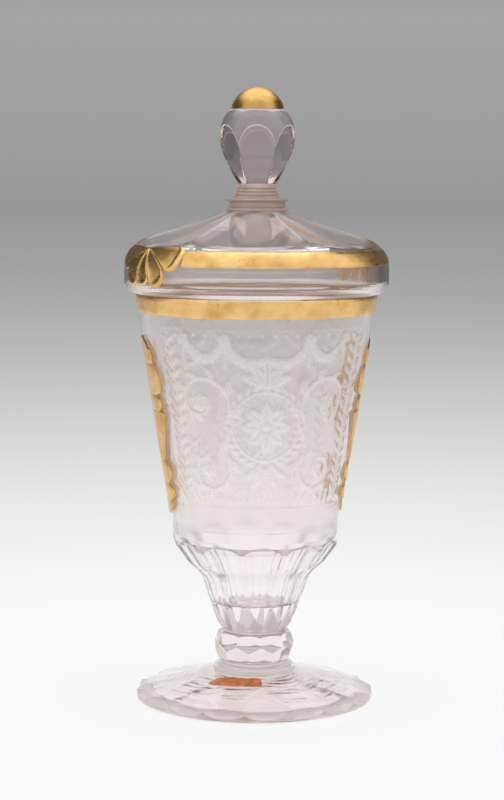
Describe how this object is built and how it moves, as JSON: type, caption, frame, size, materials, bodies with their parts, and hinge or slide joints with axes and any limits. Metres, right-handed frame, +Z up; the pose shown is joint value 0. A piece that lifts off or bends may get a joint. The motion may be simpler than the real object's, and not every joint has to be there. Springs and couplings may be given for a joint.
{
  "type": "covered goblet",
  "caption": "Footed glass goblet with a fluted lower bowl, a faceted knop, a loose domed lid with a faceted finial, and gilt bands, leaves and shells.",
  "frame": {"origin": "centre of the plane that the foot rests on", "axes": "+Z up along the axis of the goblet, the two gilt leaves of the bowl on -X and +X"},
  "size_m": [0.1042, 0.1034, 0.24],
  "materials": {
    "clear_glass": "polished, with a faint lilac tint",
    "engraved_glass": "polished, with matt wheel engraving",
    "gilding": "satin fired gold, a little worn",
    "lacquer": "semi-gloss lacquer"
  },
  "bodies": {
    "goblet": {"foot": "clear_glass", "foot_collar": "clear_glass", "stem_ring": "clear_glass", "stem_knop": "clear_glass", "bowl_wafer": "clear_glass", "bowl": "engraved_glass", "gilt_rim_band": "gilding", "gilt_leaf_left": "gilding", "gilt_leaf_right": "gilding", "lacquer_patch": "lacquer"},
    "lid": {"lid_dome": "clear_glass", "lid_flange": "clear_glass", "gilt_lid_band": "gilding", "gilt_shell_front": "gilding", "gilt_shell_back": "gilding", "lid_boss": "clear_glass", "finial_disc": "clear_glass", "finial_neck": "clear_glass", "finial": "clear_glass", "gilt_finial_cap": "gilding"}
  },
  "joints": [
    {"name": "lid_lift", "type": "slide", "parent": "goblet", "child": "lid", "axis": [0, 0, 1], "range_m": [0, 0.12]}
  ]
}
